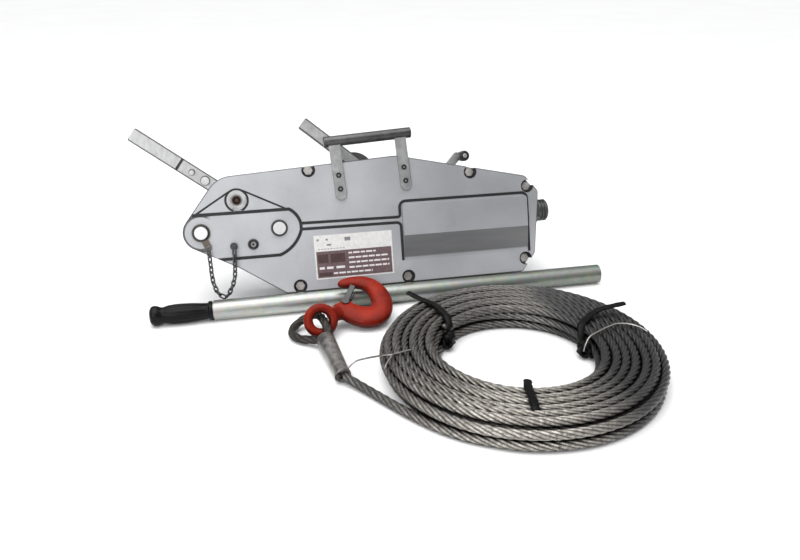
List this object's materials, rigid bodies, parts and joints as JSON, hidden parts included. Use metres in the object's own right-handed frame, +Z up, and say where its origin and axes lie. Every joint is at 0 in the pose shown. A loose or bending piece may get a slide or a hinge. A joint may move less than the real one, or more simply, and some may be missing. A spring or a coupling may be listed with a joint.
{
  "type": "come along winch",
  "caption": "Hand-operated wire-rope pulling hoist: a two-shell casing with levers, a telescopic handle, an eye hook and a tied coil of steel rope.",
  "frame": {"origin": "on the floor, under the middle of the hoist, its handle and its hook, without the rope", "axes": "+X along the handle tube towards its open end and the rope inlet, +Y towards the back of the casing, +Z up"},
  "size_m": [0.6448, 0.5183, 0.2388],
  "materials": {
    "casing_paint": "silver-grey hammered casting paint, dark in the grooves",
    "zinc": "bright zinc plate with light scratches",
    "steel": "oiled machined steel",
    "dark_steel": "blackened steel",
    "lever_steel": "galvanised steel bar",
    "galvanised_tube": "galvanised tube with faint spangle",
    "black_rubber": "moulded rubber grip",
    "black_plastic": "moulded knob",
    "label": "printed plate with plain blocks",
    "hook_paint": "thick red enamel over a forging",
    "ferrule": "pressed sleeve, dull and smudged",
    "rope": "galvanised wire rope, greasy between the strands",
    "tie": "black tie strap",
    "tie_wire": "bright soft wire"
  },
  "bodies": {
    "casing": {"casing_front_shell": "casing_paint", "casing_rear_shell": "casing_paint", "casing_bolts": "zinc", "casing_nuts": "zinc", "side_plate_front": "steel", "side_plate_rear": "steel", "fixed_pins": "zinc", "cheek_screw": "dark_steel", "chain_eyelet": "zinc", "pin_chain": "zinc", "crank_bushes": "zinc", "carry_straps": "zinc", "carry_grip": "dark_steel", "strap_screws": "dark_steel", "rope_guide": "dark_steel", "outlet_guide": "steel", "label_plate": "label"},
    "forward_lever": {"forward_lever_hub": "lever_steel", "forward_lever_bar": "lever_steel", "shear_pins": "zinc", "crank_shaft": "dark_steel", "crank_arm_front": "steel", "crank_arm_rear": "steel"},
    "rear_jaws": {"rear_jaw_carriage": "steel", "rear_jaw_lower": "steel", "rear_drive_link": "steel"},
    "rear_grip_jaw": {"rear_jaw_upper": "steel"},
    "front_jaws": {"front_jaw_carriage": "steel", "front_jaw_lower": "steel", "front_drive_link": "steel"},
    "front_grip_jaw": {"front_jaw_upper": "steel"},
    "reverse_lever": {"reverse_lever": "lever_steel", "reverse_shaft": "dark_steel"},
    "reverse_link": {"reverse_link": "steel"},
    "release_lever": {"release_lever": "zinc", "release_shaft": "dark_steel", "release_knob": "black_plastic", "release_knob_screw": "zinc"},
    "anchor_pin": {"anchor_pin": "zinc"},
    "handle": {"handle_tube": "galvanised_tube"},
    "handle_inner": {"handle_inner_tube": "galvanised_tube", "handle_grip": "black_rubber"},
    "rope": {"ferrule": "ferrule", "rope_eye": "rope", "rope_lead": "rope", "rope_coil": "rope", "rope_tie_left": "tie", "rope_tie_right": "tie", "rope_tie_front": "tie", "tie_wire": "tie_wire"},
    "hook": {"hook": "hook_paint"},
    "hook_latch": {"hook_latch": "zinc"}
  },
  "joints": [
    {"name": "forward_lever_swing", "type": "hinge", "parent": "casing", "child": "forward_lever", "pos_m": [-0.1895, 0.11192, 0.13677], "axis": [0, -0.9494, 0.3142], "range_deg": [-70, 0]},
    {"name": "rear_jaw_slide", "type": "slide", "parent": "casing", "child": "rear_jaws", "axis": [0.9994, 0.011, 0.0331], "range_m": [-0.02115, 0.0005]},
    {"name": "front_jaw_slide", "type": "slide", "parent": "casing", "child": "front_jaws", "axis": [0.9994, 0.011, 0.0331], "range_m": [-0.0005, 0.02115]},
    {"name": "rear_jaw_open", "type": "slide", "parent": "rear_jaws", "child": "rear_grip_jaw", "axis": [-0.0349, 0.314, 0.9488], "range_m": [0, 0.0025]},
    {"name": "front_jaw_open", "type": "slide", "parent": "front_jaws", "child": "front_grip_jaw", "axis": [-0.0349, 0.314, 0.9488], "range_m": [0, 0.0025]},
    {"name": "reverse_lever_swing", "type": "hinge", "parent": "casing", "child": "reverse_lever", "pos_m": [-0.025, 0.12024, 0.16193], "axis": [0, -0.9494, 0.3142], "range_deg": [-60, 0]},
    {"name": "reverse_link_slide", "type": "slide", "parent": "casing", "child": "reverse_link", "axis": [0.9994, 0.011, 0.0331], "range_m": [-0.0225, 0.0005]},
    {"name": "release_lever_swing", "type": "hinge", "parent": "casing", "child": "release_lever", "pos_m": [0.115, 0.11521, 0.14674], "axis": [0, -0.9494, 0.3142], "range_deg": [0, 30]},
    {"name": "anchor_pin_pull", "type": "slide", "parent": "casing", "child": "anchor_pin", "axis": [0, -0.9494, 0.3142], "range_m": [0, 0.105], "deforming": ["pin_chain"]},
    {"name": "handle_draw_out", "type": "slide", "parent": "casing", "child": "handle", "axis": [1, 0, 0], "range_m": [0, 0.6]},
    {"name": "handle_extend", "type": "slide", "parent": "handle", "child": "handle_inner", "axis": [-1, 0, 0], "range_m": [0, 0.36]},
    {"name": "rope_lift", "type": "slide", "parent": "casing", "child": "rope", "axis": [0, 0, 1], "range_m": [0, 0.25]},
    {"name": "hook_swing", "type": "hinge", "parent": "rope", "child": "hook", "pos_m": [-0.0962, -0.0475, 0.0236], "axis": [0.2267, -0.9636, -0.1417], "range_deg": [0, 35]},
    {"name": "hook_latch_swing", "type": "hinge", "parent": "hook", "child": "hook_latch", "pos_m": [-0.062, -0.01801, 0.02545], "axis": [0, -0.4226, 0.9063], "range_deg": [-30, 0], "stiffness_Nm_per_rad": 0.02, "springref_deg": 17.19}
  ],
  "couplings": [
    {"joint": "rear_jaw_slide", "follows": "forward_lever_swing", "m_per_rad": 0.016901},
    {"joint": "front_jaw_slide", "follows": "forward_lever_swing", "m_per_rad": -0.016901},
    {"joint": "reverse_link_slide", "follows": "reverse_lever_swing", "m_per_rad": 0.021008}
  ]
}
